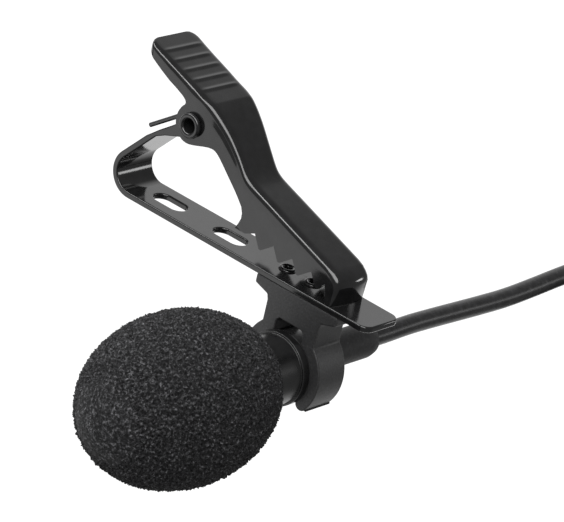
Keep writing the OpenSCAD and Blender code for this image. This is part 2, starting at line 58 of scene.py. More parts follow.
def placeCamera():
    right = Vector(view["right"]).normalized()
    back = right.cross(Vector(view["up"])).normalized()
    up = back.cross(right)
    cam = bpy.data.cameras.new("studioCamera")
    cam.sensor_fit = "HORIZONTAL"
    cam.sensor_width = view["sensor"]
    cam.lens = view["lens"]
    cam.clip_start = view["near"]
    cam.clip_end = view["far"]
    obj = bpy.data.objects.new("studioCamera", cam)
    obj.matrix_world = Matrix((
        (right.x, up.x, back.x, view["eye"][0]),
        (right.y, up.y, back.y, view["eye"][1]),
        (right.z, up.z, back.z, view["eye"][2]),
        (0, 0, 0, 1)))
    bpy.context.scene.collection.objects.link(obj)
    bpy.context.scene.camera = obj
    return obj


placeCamera()
bpy.context.scene.view_settings.view_transform = "Standard"


# Materials
def startMaterial(name, colour, rough, metal=0.0, level=0.5):
    mat = bpy.data.materials.new(name)
    mat.use_nodes = True
    tree = mat.node_tree
    shader = tree.nodes["Principled BSDF"]
    shader.inputs["Base Color"].default_value = (*colour, 1)
    shader.inputs["Roughness"].default_value = rough
    shader.inputs["Metallic"].default_value = metal
    shader.inputs["Specular IOR Level"].default_value = level
    mat.diffuse_color = (*colour, 1)
    return mat, tree, shader


def link(tree, source, out, target, into):
    tree.links.new(source.outputs[out], target.inputs[into])


def noiseOn(tree, scale, detail=2.0, rough=0.5):
    place = tree.nodes.new("ShaderNodeTexCoord")
    cloud = tree.nodes.new("ShaderNodeTexNoise")
    cloud.inputs["Scale"].default_value = scale
    cloud.inputs["Detail"].default_value = detail
    cloud.inputs["Roughness"].default_value = rough
    link(tree, place, "Object", cloud, "Vector")
    return cloud


def ramp(tree, source, out, stops):
    node = tree.nodes.new("ShaderNodeValToRGB")
    link(tree, source, out, node, "Fac")
    marks = node.color_ramp.elements
    for mark, (place, colour) in zip(marks, (stops[0], stops[-1])):
        mark.position = place
        mark.color = (*colour, 1)
    for place, colour in stops[1:-1]:
        marks.new(place).color = (*colour, 1)
    return node


def grey(v):
    return (v, v, v * 1.03)


def shades(tone, *stops):
    # Stops of a ramp, each a share of one grey.
    return [(place, grey(tone * share)) for place, share in stops]


def bumpFrom(tree, shader, source, out, strength, distance):
    bump = tree.nodes.new("ShaderNodeBump")
    bump.inputs["Strength"].default_value = strength
    bump.inputs["Distance"].default_value = distance
    link(tree, source, out, bump, "Height")
    link(tree, bump, "Normal", shader, "Normal")


def mathOn(tree, operation, first, second):
    node = tree.nodes.new("ShaderNodeMath")
    node.operation = operation
    tree.links.new(first, node.inputs[0])
    tree.links.new(second, node.inputs[1])
    return node


def coatedSteel(name, dark, rough):
    mat, tree, shader = startMaterial(name, grey(dark), rough)
    fine = noiseOn(tree, 900, 3)
    tone = ramp(tree, fine, "Fac", shades(dark, (0.3, 0.75), (0.7, 1.3)))
    link(tree, tone, "Color", shader, "Base Color")
    broad = noiseOn(tree, 260, 4, 0.6)
    gloss = ramp(tree, broad, "Fac", shades(rough, (0.3, 0.8), (0.75, 1.25)))
    link(tree, gloss, "Color", shader, "Roughness")
    bumpFrom(tree, shader, broad, "Fac", 0.12, 0.00004)
    return mat


def openFoam(name, dark):
    # Painted shade darkens the open cells between the lighter strands, and the brighter specks over them are
    # painted glints
    mat, tree, shader = startMaterial(name, grey(dark), 0.9, level=0.1)
    place = tree.nodes.new("ShaderNodeTexCoord")
    cells = tree.nodes.new("ShaderNodeTexVoronoi")
    cells.feature = "DISTANCE_TO_EDGE"
    cells.inputs["Scale"].default_value = 2400
    cells.inputs["Randomness"].default_value = 1.0
    link(tree, place, "Object", cells, "Vector")
    # Painted shade: the open cells are darker than the strands between them.
    cellShade = ramp(tree, cells, "Distance", shades(1.0, (0.0, 1.0), (0.12, 0.35), (0.35, 0.0)))
    specks = noiseOn(tree, 2700, 2, 0.75)
    # Painted glints: bright specks scattered over the foam.
    bright = ramp(tree, specks, "Fac", shades(dark, (0.4, 0.6), (0.52, 1.4), (0.62, 3.6), (0.72, 8.5)))
    mix = tree.nodes.new("ShaderNodeMix")
    mix.data_type = "RGBA"
    mix.blend_type = "MULTIPLY"
    mix.inputs["Factor"].default_value = 0.6
    link(tree, bright, "Color", mix, "A")
    link(tree, cellShade, "Color", mix, "B")
    tree.links.new(mix.outputs["Result"], shader.inputs["Base Color"])
    bumpFrom(tree, shader, specks, "Fac", 0.8, 0.00025)
    shader.inputs["Sheen Weight"].default_value = 0.04
    shader.inputs["Sheen Roughness"].default_value = 0.45
    return mat


def mattPlastic(name, dark, rough, grain, depth, level=0.5):
    mat, tree, shader = startMaterial(name, grey(dark), rough, level=level)
    fine = noiseOn(tree, grain, 3, 0.6)
    tone = ramp(tree, fine, "Fac", shades(dark, (0.35, 0.7), (0.62, 1.2), (0.78, 2.4)))
    link(tree, tone, "Color", shader, "Base Color")
    bumpFrom(tree, shader, fine, "Fac", 0.5, depth)
    return mat


def brightMetal(name, colour, rough):
    mat, tree, shader = startMaterial(name, colour, rough, metal=1.0)
    cloud = noiseOn(tree, 700, 4, 0.6)
    dull, bright = (tuple(c * share for c in colour) for share in (0.82, 1.08))
    tone = ramp(tree, cloud, "Fac", [(0.3, dull), (0.7, bright)])
    link(tree, tone, "Color", shader, "Base Color")
    gloss = ramp(tree, cloud, "Fac", shades(rough, (0.3, 0.7), (0.72, 1.5)))
    link(tree, gloss, "Color", shader, "Roughness")
    bumpFrom(tree, shader, cloud, "Fac", 0.08, 0.00003)
    return mat


def boardMask(name):
    mat, tree, shader = startMaterial(name, (0.02, 0.1, 0.045), 0.35)
    tracks = noiseOn(tree, 1300, 1)
    tone = ramp(tree, tracks, "Fac", [(0.46, (0.014, 0.075, 0.032)), (0.5, (0.03, 0.15, 0.07))])
    link(tree, tone, "Color", shader, "Base Color")
    bumpFrom(tree, shader, tracks, "Fac", 0.3, 0.00003)
    return mat


def wovenCloth(name, dark, along, over):
    # Warp and weft cross on the band's own UV map, with a fine fluff over them.
    mat, tree, shader = startMaterial(name, grey(dark), 0.9, level=0.2)
    place = tree.nodes.new("ShaderNodeTexCoord")
    threads = []
    for way, scale in (("X", along), ("Y", over)):
        wave = tree.nodes.new("ShaderNodeTexWave")
        wave.bands_direction = way
        wave.inputs["Scale"].default_value = scale
        wave.inputs["Distortion"].default_value = 0.6
        link(tree, place, "UV", wave, "Vector")
        threads.append(wave.outputs["Fac"])
    knot = mathOn(tree, "MULTIPLY", *threads)
    fluff = noiseOn(tree, 5200, 3, 0.7)
    whole = mathOn(tree, "ADD", knot.outputs["Value"], fluff.outputs["Fac"])
    tone = ramp(tree, whole, "Value", shades(dark, (0.35, 0.4), (0.7, 1.0), (1.0, 2.6)))
    link(tree, tone, "Color", shader, "Base Color")
    bumpFrom(tree, shader, whole, "Value", 0.8, 0.00012)
    return mat


def pressedFelt(name, dark):
    mat, tree, shader = startMaterial(name, grey(dark), 0.95, level=0.1)
    hairs = noiseOn(tree, 4200, 5, 0.75)
    tone = ramp(tree, hairs, "Fac", shades(dark, (0.35, 0.4), (0.55, 1.0), (0.72, 3.5)))
    link(tree, tone, "Color", shader, "Base Color")
    bumpFrom(tree, shader, hairs, "Fac", 0.9, 0.00015)
    return mat


finishes = {
    "clipSteel": coatedSteel("clipSteel", 0.007, 0.12),
    "rivetSteel": coatedSteel("rivetSteel", 0.008, 0.16),
    "springSteel": coatedSteel("springSteel", 0.014, 0.3),
    "micSteel": coatedSteel("micSteel", 0.006, 0.28),
    "holderPlastic": mattPlastic("holderPlastic", 0.017, 0.5, 4200, 0.00005),
    "bootRubber": mattPlastic("bootRubber", 0.021, 0.62, 2600, 0.00003, 0.3),
    "jacketRubber": mattPlastic("jacketRubber", 0.019, 0.34, 1500, 0.00002, 0.22),
    "foamCells": openFoam("foamCells", 0.021),
    "strapCloth": wovenCloth("strapCloth", 0.02, 26, 3.4),
    "felt": pressedFelt("felt", 0.02),
    "boardGreen": boardMask("boardGreen"),
    "wireJacket": mattPlastic("wireJacket", 0.3, 0.45, 1700, 0.00002),
    "nickel": brightMetal("nickel", (0.62, 0.6, 0.57), 0.2),
    "brass": brightMetal("brass", (0.6, 0.42, 0.18), 0.28),
}


def dress(obj, body, key, slotName, *nodes):
    # A body of None is for a piece that blends between two bodies.
    obj.data.materials.clear()
    obj.data.materials.append(finishes[key])
    if body:
        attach(obj, body)
    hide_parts(*nodes)
    return obj


# Ways of making a mesh
def newObject(name, bm, smooth=35):
    mesh = bpy.data.meshes.new(name)
    bm.to_mesh(mesh)
    bm.free()
    mesh.shade_smooth()
    mesh.set_sharp_from_angle(angle=math.radians(smooth))
    obj = bpy.data.objects.new(name, mesh)
    bpy.context.scene.collection.objects.link(obj)
    return obj


def addModifier(obj, name, kind, **settings):
    modifier = obj.modifiers.new(name, kind)
    for key, value in settings.items():
        setattr(modifier, key, value)


def breakEdges(obj, name, width, segments):
    addModifier(obj, name, "BEVEL", width=width * mm, segments=segments, limit_method="ANGLE",
                angle_limit=math.radians(60))


def applyModifiers(obj):
    depsgraph = bpy.context.evaluated_depsgraph_get()
    mesh = bpy.data.meshes.new_from_object(obj.evaluated_get(depsgraph))
    old = obj.data
    obj.modifiers.clear()
    obj.data = mesh
    bpy.data.meshes.remove(old)
    return obj


def freeze(obj, angle=35):
    applyModifiers(obj)
    obj.data.shade_smooth()
    obj.data.set_sharp_from_angle(angle=math.radians(angle))
    return obj


def cleaned(obj, dist=7e-7):
    # Slivers left by rounded edges and holes are merged away.
    bm = bmesh.new()
    bm.from_mesh(obj.data)
    bmesh.ops.remove_doubles(bm, verts=bm.verts, dist=dist)
    bmesh.ops.dissolve_degenerate(bm, edges=bm.edges, dist=dist)
    bm.to_mesh(obj.data)
    bm.free()
    return obj


def cutWith(obj, cutter, name):
    # Leaves the cut live, so that the caller applies it and removes the cutter.
    addModifier(obj, name, "BOOLEAN", operation="DIFFERENCE", object=cutter, solver="EXACT")


def smoothStep(a, b, x):
    y = max(0, min(1, (x - a) / (b - a)))
    return y * y * (3 - 2 * y)


def add(a, b):
    return (a[0] + b[0], a[1] + b[1], a[2] + b[2])


def rounded(points, r, steps=4):
    # Rounds each inner corner of an outline by a small curve.
    out = [points[0]]
    for a, b, c in zip(points, points[1:], points[2:]):
        a, b, c = Vector(a), Vector(b), Vector(c)
        u, v = (a - b), (c - b)
        k = min(r, u.length * 0.45, v.length * 0.45)
        p, q = b + u.normalized() * k, b + v.normalized() * k
        for i in range(steps + 1):
            f = i / steps
            s = p.lerp(b, f).lerp(b.lerp(q, f), f)
            out.append((s.x, s.y))
    out.append(points[-1])
    return out


def turned(name, outline, at=(0, 0, 0), axis="Z", steps=64, closed=False, smooth=35):
    # An outline of radius and height is spun round its axis.
    bm = bmesh.new()
    verts = [bm.verts.new((r * mm, 0, h * mm)) for r, h in outline]
    edges = [bm.edges.new(pair) for pair in zip(verts, verts[1:])]
    if closed:
        edges.append(bm.edges.new((verts[-1], verts[0])))
    bmesh.ops.spin(bm, geom=verts + edges, cent=(0, 0, 0), axis=(0, 0, 1), angle=math.tau, steps=steps,
                   use_merge=True, use_duplicate=False)
    bmesh.ops.remove_doubles(bm, verts=bm.verts, dist=1e-7)
    bmesh.ops.recalc_face_normals(bm, faces=bm.faces)
    if axis == "Y":
        bmesh.ops.rotate(bm, cent=(0, 0, 0), matrix=Matrix.Rotation(-math.pi / 2, 3, "X"), verts=bm.verts)
    bmesh.ops.translate(bm, vec=tuple(c * mm for c in at), verts=bm.verts)
    return newObject(name, bm, smooth)


def sweepTube(name, route, diameter, sides, smooth=60):
    # A ring is extruded from point to point and turned to each new direction.
    bm = bmesh.new()
    ring = bmesh.ops.create_circle(bm, cap_ends=False, segments=sides, radius=diameter / 2 * mm)["verts"]
    loop = list({e for v in ring for e in v.link_edges})
    way = (route[1] - route[0]).normalized()
    turnTo = Vector((0, 0, 1)).rotation_difference(way).to_matrix()
    for v in ring:
        v.co = turnTo @ v.co + route[0] * mm
    first = loop
    for i in range(1, len(route)):
        nextWay = (route[min(i + 1, len(route) - 1)] - route[i - 1]).normalized()
        turn = way.rotation_difference(nextWay).to_matrix()
        made = bmesh.ops.extrude_edge_only(bm, edges=loop)["geom"]
        ring = [g for g in made if isinstance(g, bmesh.types.BMVert)]
        loop = [g for g in made if isinstance(g, bmesh.types.BMEdge)]
        bmesh.ops.translate(bm, vec=(route[i] - route[i - 1]) * mm, verts=ring)
        bmesh.ops.rotate(bm, cent=route[i] * mm, matrix=turn, verts=ring)
        way = nextWay
    bmesh.ops.holes_fill(bm, edges=first + loop, sides=sides + 1)
    bmesh.ops.recalc_face_normals(bm, faces=bm.faces)
    return newObject(name, bm, smooth)


# Cable with its hank and tail
cablePlan = {
    "diameter": 2.3,
    "from": (0, -9.64, -12.9),
    "free": [(0, 0, 0), (0, 0, -2.5), (0, 0.1, -7), (0, 0, -11), (0, -0.2, -16), (0, -0.4, -21),
             (0, -0.5, -26), (0, -0.3, -31), (0, 0, -36), (0, 0.2, -41), (0, 0.3, -46), (0, 0.3, -51),
             (0, 0.3, -55.5)],
    "tail": [(0, 0, 0), (0, 0, -2.5), (0, 0.3, -7), (0, 0.8, -12), (0, 0.8, -17), (0, 0.8, -19.5)],
    "loops": 2, "layers": 4, "layerGap": 0.5, "run": 40, "inner": 7, "step": 3.1, "waist": 5,
}


def hankRoute(start):
    p = cablePlan
    cord, loops, run = p["diameter"], p["loops"], p["run"]
    outer = p["inner"] + loops * p["step"]
    turns = p["layers"] * loops
    lap = 24  # points in one turn: half a side, an end, a side, an end and half a side
    mid = add(start, (0, -outer, -cord - run / 2))

    def wave(t):
        # The turns go inwards in one layer and outwards in the next.
        q = max(0, min(turns, t)) / loops
        k = math.floor(q)
        f = q - k
        return outer - loops * p["step"] * f if k % 2 == 0 else p["inner"] + loops * p["step"] * f

    def flat(s, r):
        w = p["waist"]
        a = math.radians(22.5)
        if s <= 2:
            return r - w * (1 + math.cos(math.pi * s / 2)) / 2, -run * s / 4
        if s <= 10:
            return r * math.cos(a * (s - 2)), -run / 2 - r * math.sin(a * (s - 2))
        if s <= 14:
            return -r + w * (1 + math.cos(math.pi / 2 * (s - 12))) / 2, run * (s - 12) / 4
        if s <= 22:
            return -r * math.cos(a * (s - 14)), run / 2 + r * math.sin(a * (s - 14))
        return r - w * (1 + math.cos(math.pi / 2 * (s - 24))) / 2, -run * (s - 24) / 4

    def at(k):
        t = k / lap
        y, z = flat(k - lap * math.floor(t), wave(t))
        layer = sum(smoothStep(0, 1, (t - n * loops) * 6 + 0.5) for n in range(1, p["layers"]))
        return add(mid, (layer * (cord + p["layerGap"]), y, z))

    route = [start] + [at(k) for k in range(-2, lap * turns + 3)]
    return route + [add(at(lap * turns + 2), (0, 0, -cord))]


def cableRoute():
    free = [add(cablePlan["from"], q) for q in cablePlan["free"]]
    hank = hankRoute(free[-1])
    tail = [add(hank[-1], q) for q in cablePlan["tail"]]
    return free + hank[1:] + tail[1:]


def makeCable():
    route = [Vector(p) * mm for p in cableRoute()]
    data = bpy.data.curves.new("cableRun", "CURVE")
    data.dimensions = "3D"
    data.resolution_u = 5
    data.render_resolution_u = 5
    data.bevel_depth = cablePlan["diameter"] * mm / 2
    data.bevel_resolution = 5
    data.use_fill_caps = True
    spline = data.splines.new("BEZIER")
    spline.bezier_points.add(len(route) - 1)
    for point, at in zip(spline.bezier_points, route):
        point.co = at
        point.handle_left_type = "AUTO"
        point.handle_right_type = "AUTO"
    obj = bpy.data.objects.new("cableRun", data)
    bpy.context.scene.collection.objects.link(obj)
    length = sum((b - a).length for a, b in zip(route, route[1:]))
    dress(obj, "microphone", "jacketRubber", "cord_jacket", "cable", "cable_hank", "cable_tail")
    return obj, route, length


cable, cableLine, cableLength = makeCable()
print("cable laid, metres:", round(cableLength, 3))

# Lever: one pressed sheet, drawn as stations from the pad's end to the nose
leverPlan = {
    "sheet": 0.75, "wide": 3.85, "narrow": 2.88, "foot": 2.9, "corner": 0.9, "brokenEdge": 0.13,
    "narrowing": (-18.2, -11), "footing": (-17.2, -10.5), "footDepth": (0.55, 1.4),
    "knee": (-16.75, 15.1), "padLength": 11, "padSlope": 19.5, "endRound": 1.2,
    "ribs": 5, "ribPitch": 1.66, "ribHigh": 0.07, "ribWide": 0.24, "ribMargin": 2.25,
    "slope": (2.15, -2.05), "swell": 0.45, "swellLength": 2.95,
    "earRadius": 2.45, "earFrom": 139, "earTo": 270, "earStep": 8,
    "jawStart": (-10.4, 8.8), "jawFall": 0.3365,
    "tooth": ((-7.48, 3.4), (-6.51, 1.93), (-6.21, 1.93)), "toothPitch": 2.87, "toothFall": 0.22,
    "noseBow": 9, "hole": 1.14, "step": 0.4, "fineStep": 0.1,
    "across": 12, "turnSteps": 10, "down": 10,
}
pivotAt = (-18.6, 11.9)


def onPad(d):
    kneeX, kneeY = leverPlan["knee"]
    a = math.radians(leverPlan["padSlope"])
    return kneeX - d * math.cos(a), kneeY + d * math.sin(a)


def onSlope(f):
    kneeX, kneeY = leverPlan["knee"]
    alongX, alongY = leverPlan["slope"]
    swell = leverPlan["swell"] * math.sin(math.pi * max(0, f / leverPlan["swellLength"]) ** 0.8)
    return kneeX + alongX * f + 0.69 * swell, kneeY + alongY * f + 0.72 * swell


def onEar(degrees):
    a, r = math.radians(degrees), leverPlan["earRadius"]
    return pivotAt[0] + r * math.cos(a), pivotAt[1] + r * math.sin(a)


def onJaw(x):
    startX, startY = leverPlan["jawStart"]
    return x, startY - (x - startX) * leverPlan["jawFall"]


def leverPairs():
    # Each pair is a point on the top line and the flange's lower edge below it.
    p = leverPlan
    pairs = [
        (onPad(11), (-27.2, 18.15)), (onPad(10.8), (-26.95, 17.6)), (onPad(10.2), (-26.2, 17.05)),
        (onPad(8.6), (-24.6, 16.2)), (onPad(6.9), (-23.1, 15.5)), (onPad(5.3), (-21.7, 15.0)),
        (onPad(4), (-20.65, 14.55)), (onPad(3.2), (-20.24, 14.25)), (onPad(2.4), (-20.12, 14.0)),
        (onPad(1.6), (-20.18, 13.78)),
    ]
    span = p["earTo"] - p["earFrom"]
    for a in range(p["earFrom"], p["earTo"] + 1, p["earStep"]):
        t = 1.0 - 1.3 * ((a - p["earFrom"]) / span) ** 0.8
        pairs.append((onPad(t) if t > 0 else onSlope(-t), onEar(a)))
    # Waist and the hook in front of the first tooth
    pairs += [
        (onSlope(0.55), (-17.5, 9.75)), (onSlope(0.75), (-16.4, 10.25)), (onSlope(0.95), (-15.65, 10.5)),
        (onSlope(1.2), (-14.95, 10.3)), (onSlope(1.55), (-14.25, 9.6)), (onSlope(2.2), (-12.55, 7.85)),
        ((-10.35, 8.95), (-10.85, 6.25)), (onJaw(-9.6), (-10.15, 5.5)), (onJaw(-9.05), (-9.85, 4.85)),
        (onJaw(-8.4), (-9.8, 4.2)), (onJaw(-7.7), (-10.0, 3.6)), (onJaw(-7.2), (-10.35, 2.8)),
        (onJaw(-7.0), (-8.85, 2.78)),
    ]
    toothTops = ((-6.75, -6.5, -6.2), (-4.61, -3.64, -3.34), (-1.74, -0.77, -0.47), (1.13, 2.0, 2.35))
    for n, tops in enumerate(toothTops):
        for x, (lowX, lowY) in zip(tops, p["tooth"]):
            pairs.append((onJaw(x), (lowX + n * p["toothPitch"], lowY - n * p["toothFall"])))
    # Nose
    return pairs + [
        (onJaw(3.1), (3.35, 2.1)), (onJaw(4.2), (3.5, 1.6)), ((4.85, 3.5), (3.65, 1.1)),
        ((5.25, 3.1), (3.8, 0.7)), ((5.45, 2.6), (3.95, 0.35)), ((5.42, 2.0), (4.1, 0.08)),
        ((5.27, 1.1), (4.4, 0.08)), ((5.08, 0.08), (4.7, 0.08)),
    ]


def eased(line):
    last = len(line) - 4
    return [(line[i - 1] + line[i] * 2 + line[i + 1]) / 4 if 4 < i < last else line[i]
            for i in range(len(line))]


def easesLow(q):
    # The ear, the waist and the pad's flange are eased; the teeth keep their corners.
    return (-20.9 < q.x < -9.9 and 5.5 < q.y < 13.5) or q.x < -20.2


def leverStations():
    pairs = leverPairs()
    tops, lows = [], []
    for (top, low), (nextTop, nextLow) in zip(pairs, pairs[1:]):
        step = leverPlan["fineStep"] if top[0] < -18 else leverPlan["step"]
        parts = max(1, round(math.dist(top, nextTop) / step))
        for i in range(parts):
            f = i / parts
            for line, here, there in ((tops, top, nextTop), (lows, low, nextLow)):
                line.append(Vector([a + (b - a) * f for a, b in zip(here, there)]))
    tops.append(Vector(pairs[-1][0]))
    lows.append(Vector(pairs[-1][1]))
    for _ in range(4):
        tops = [soft if -20 < q.x < 1 else q for soft, q in zip(eased(tops), tops)]
        lows = [soft if easesLow(q) else q for soft, q in zip(eased(lows), lows)]
    return tops, lows


def leverWidth(x, fromEnd):
    p = leverPlan
    w = p["wide"] - (p["wide"] - p["narrow"]) * smoothStep(*p["narrowing"], x)
    curl = p["endRound"]
    if fromEnd < curl:
        w -= curl - math.sqrt(max(0, curl ** 2 - (curl - fromEnd) ** 2))
    return w


def ribLift(z, edge, fromEnd):
    # The ribs fade out before the rounded edge, which starts at the given z.
    p = leverPlan
    lift = 0
    for n in range(p["ribs"]):
        d = p["padLength"] - p["ribMargin"] - n * p["ribPitch"] - fromEnd
        lift += math.exp(-(d / p["ribWide"]) ** 2)
    return lift * (p["ribHigh"] * smoothStep(edge - 0.1, edge - 0.6, z) if z else p["ribHigh"])


def leverRow(top, low, fromEnd):
    # One cross-section: up the far flange, over the face and down the near flange
    p = leverPlan
    down, turnSteps = p["down"], p["turnSteps"]
    count = p["across"] + 2 * (turnSteps + down)
    w = leverWidth(top.x, fromEnd)
    drop = low - top
    length = drop.length
    way = drop / length
    r = min(p["corner"] + 0.1 * smoothStep(2.5, 5.3, top.x), length * 0.45, w * 0.45)
    flare = 0
    if fromEnd > 8:
        flare = p["wide"] - (p["wide"] - p["foot"]) * smoothStep(*p["footing"], top.x) - w
    row = []
    for j in range(count + 1):
        side = -1 if j < count / 2 else 1
        k = min(j, count - j)
        if k >= down + turnSteps:
            z, q = (w - r) * (1 - (k - down - turnSteps) / (p["across"] / 2)), 0
        elif k >= down:
            a = math.radians(90 * (k - down) / turnSteps)
            z, q = w - r + r * math.cos(a), r - r * math.sin(a)
        else:
            q = r + (length - r) * (1 - k / down)
            z = w + flare * smoothStep(*p["footDepth"], q)
        at = top + way * q
        lift = ribLift(z, w - r, fromEnd) if q == 0 and fromEnd < p["padLength"] else 0
        bow = p["noseBow"] - math.sqrt(p["noseBow"] ** 2 - min(z, 4) ** 2)
        row.append(Vector((at.x - bow * smoothStep(3.0, 5.2, at.x), at.y + lift, side * z)))
    return row


def makeLever():
    p = leverPlan
    tops, lows = leverStations()
    fromEnd = 0
    place = [leverRow(tops[0], lows[0], fromEnd)]
    for before, top, low in zip(tops, tops[1:], lows[1:]):
        fromEnd += (top - before).length
        place.append(leverRow(top, low, fromEnd))
    stations, count = len(place) - 1, len(place[0]) - 1
    bm = bmesh.new()
    bmesh.ops.create_grid(bm, x_segments=stations, y_segments=count, size=0.5)
    # The grid's own x and y tell each point its station and its place across.
    for v in bm.verts:
        v.co = place[round((v.co.x + 0.5) * stations)][round((v.co.y + 0.5) * count)] * mm
    bmesh.ops.recalc_face_normals(bm, faces=bm.faces)
    topFace = max(bm.faces, key=lambda f: f.calc_center_median().y)
    if topFace.normal.y < 0:
        bmesh.ops.reverse_faces(bm, faces=bm.faces)
    obj = newObject("pressedLever", bm, 50)
    addModifier(obj, "sheet", "SOLIDIFY", thickness=p["sheet"] * mm, offset=-1, use_even_offset=False)
    breakEdges(obj, "brokenEdges", p["brokenEdge"], 1)
    drill = makeDrill("leverDrill", pivotAt, p["hole"], 10)
    cutWith(obj, drill, "pivotHole")
    freeze(obj)
    bpy.data.objects.remove(drill)
    return dress(cleaned(obj), "lever", "clipSteel", "clip_steel", "upper_jaw")


def makeDrill(name, at, radius, long):
    bm = bmesh.new()
    bmesh.ops.create_cone(bm, cap_ends=True, segments=48, radius1=radius * mm, radius2=radius * mm,
                          depth=long * mm)
    bmesh.ops.translate(bm, vec=(at[0] * mm, at[1] * mm, 0), verts=bm.verts)
    return newObject(name, bm)


lever = makeLever()
print("lever pressed, faces:", len(lever.data.polygons))

# Pieces that keep the solid's outline and get rounded edges
edgePlan = {
    "strip": 0.2, "holder": 0.2, "boot": 0.12, "grille": 0.05, "segments": 4, "sharpFrom": 40,
    "armTrim": [(-25.4, 7.55), (-24.4, 8.38), (-23.74, 8.95), (-22.58, 9.82), (-21.45, 10.7), (-20.3, 12.5),
                (-22, 16), (-28, 12)],
    "trimRound": 1, "trimHalf": 5,
}


def sideCutter(name, outline, half):
    bm = bmesh.new()
    face = bm.faces.new([bm.verts.new((x * mm, y * mm, -half * mm)) for x, y in outline])
    made = bmesh.ops.extrude_face_region(bm, geom=[face])["geom"]
    lifted = [g for g in made if isinstance(g, bmesh.types.BMVert)]
    bmesh.ops.translate(bm, vec=(0, 0, 2 * half * mm), verts=lifted)
    bmesh.ops.recalc_face_normals(bm, faces=bm.faces)
    return newObject(name, bm)


def cutAway(bm, outline):
    # Cuts off what lies inside the outline, seen from the side.
    rough = newObject("rough", bm)
    cutter = sideCutter("cutter", outline, edgePlan["trimHalf"])
    cutWith(rough, cutter, "trim")
    freeze(rough)
    out = bmesh.new()
    out.from_mesh(rough.data)
    for obj in (rough, cutter):
        bpy.data.objects.remove(obj)
    return out


def softenedCopy(nodeName, name, width, trimLine=None, clamp=True):
    bm = bmesh.new()
    bm.from_mesh(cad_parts[nodeName].data)
    bmesh.ops.remove_doubles(bm, verts=bm.verts, dist=1e-7)
    if trimLine:
        bm = cutAway(bm, trimLine)
        bmesh.ops.remove_doubles(bm, verts=bm.verts, dist=2e-5)
    bmesh.ops.dissolve_limit(bm, angle_limit=math.radians(0.5), verts=bm.verts, edges=bm.edges,
                             delimit={"NORMAL"})
    limit = math.radians(edgePlan["sharpFrom"])
    sharp = [e for e in bm.edges if len(e.link_faces) == 2 and e.calc_face_angle(0) > limit]
    bmesh.ops.bevel(bm, geom=sharp, offset=width * mm, offset_type="OFFSET", segments=edgePlan["segments"],
                    profile=0.5, affect="EDGES", clamp_overlap=clamp, material=-1)
    obj = newObject(name, bm, 40)
    addModifier(obj, "flatShading", "WEIGHTED_NORMAL", keep_sharp=True, weight=80)
    return applyModifiers(obj)


armTrim = rounded(edgePlan["armTrim"], edgePlan["trimRound"], 6)
strip = softenedCopy("lower_jaw", "bentStrip", edgePlan["strip"], armTrim, clamp=False)
dress(strip, "clip", "clipSteel", "clip_steel", "lower_jaw")
holder = softenedCopy("mic_holder", "ringHolder", edgePlan["holder"], clamp=False)
dress(holder, "clip", "holderPlastic", "holder_plastic", "mic_holder")
print("strip and holder ready")

# Microphone body
micPlan = {
    "axisY": -9.64, "low": -3.6, "ringTop": 2.9, "collarTop": 4.0, "top": 15.0,
    "barrel": 3.95, "collar": 4.32, "head": 4.05, "bore": 3.5, "inside": 3.3, "cordHole": 2.07,
    "floor": 0.8, "chamfer": 0.5, "edge": 0.16,
}
micAt = (0, micPlan["axisY"], 0)


def makeBarrel():
    p = micPlan
    low, floor = p["low"], p["low"] + p["floor"]
    outline = [
        (p["cordHole"], low), (p["barrel"] - p["chamfer"], low), (p["barrel"], low + p["chamfer"]),
        (p["barrel"], p["ringTop"]), (p["collar"], p["ringTop"]), (p["collar"], p["collarTop"]),
        (p["head"], p["collarTop"]), (p["head"], p["top"]), (p["bore"], p["top"]),
        (p["bore"], p["collarTop"]), (p["inside"], p["collarTop"]), (p["inside"], floor),
        (p["cordHole"], floor), (p["cordHole"], low),
    ]
    return turned("micBody", rounded(outline, p["edge"]), micAt, steps=96)


dress(makeBarrel(), "microphone", "micSteel", "mic_metal", "mic_barrel")

# Hollow pivot rivet with rolled ends
rivetPlan = {"half": 3.85, "bore": 0.8, "shank": 1.08, "roll": 1.5, "high": 0.62, "lap": 0.03}


def makePivotRivet():
    p = rivetPlan
    k = (p["roll"] - p["bore"]) / 2
    seat = p["half"] + p["lap"]
    middle = p["half"] + 0.04 + (p["high"] - k)
    curl = [math.radians(a) for a in range(180, -61, -20)]
    roll = [(p["bore"] + k + k * math.cos(a), middle + k * math.sin(a)) for a in curl]
    half = [(p["bore"], 0)] + roll + [(p["roll"] - 0.12, seat), (p["shank"], seat), (p["shank"], 0)]
    whole = half + [(x, -z) for x, z in reversed(half)][1:]
    return turned("pivotEyelet", whole[:-1], (*pivotAt, 0), closed=True, smooth=50)


dress(makePivotRivet(), "clip", "rivetSteel", "rivet_steel", "pivot_rivet")

# Small rivets through the strip and the holder's foot
eyeletPlan = {
    "flange": 1.06, "shank": 0.73, "wall": 0.25, "deep": 1.9, "floor": 0.3,
    "rim": [(0, 0.0), (0.06, 0.14), (0.2, 0.25), (0.36, 0.27)],
    "at": {"rear_rivet": -4.1, "front_rivet": -0.3},
}


def makeEyelet(name, x):
    p = eyeletPlan
    bore, low = p["shank"] - p["wall"], -p["deep"]
    outline = [(bore, low + p["floor"])]
    outline += [(bore + out, high) for out, high in p["rim"]]
    outline += [
        (p["flange"] - 0.1, 0.22), (p["flange"], 0.1), (p["flange"], 0.01), (p["shank"], 0.01),
        (p["shank"], low), (0.01, low), (0.01, low + p["floor"]),
    ]
    return turned(name, outline, (x, 0, 0), axis="Y", steps=48, closed=True, smooth=50)


for nodeName, x in eyeletPlan["at"].items():
    piece = makeEyelet(nodeName.split("_")[0] + "Eyelet", x)
    dress(piece, "clip", "rivetSteel", "rivet_steel", nodeName)
print("rivets turned")

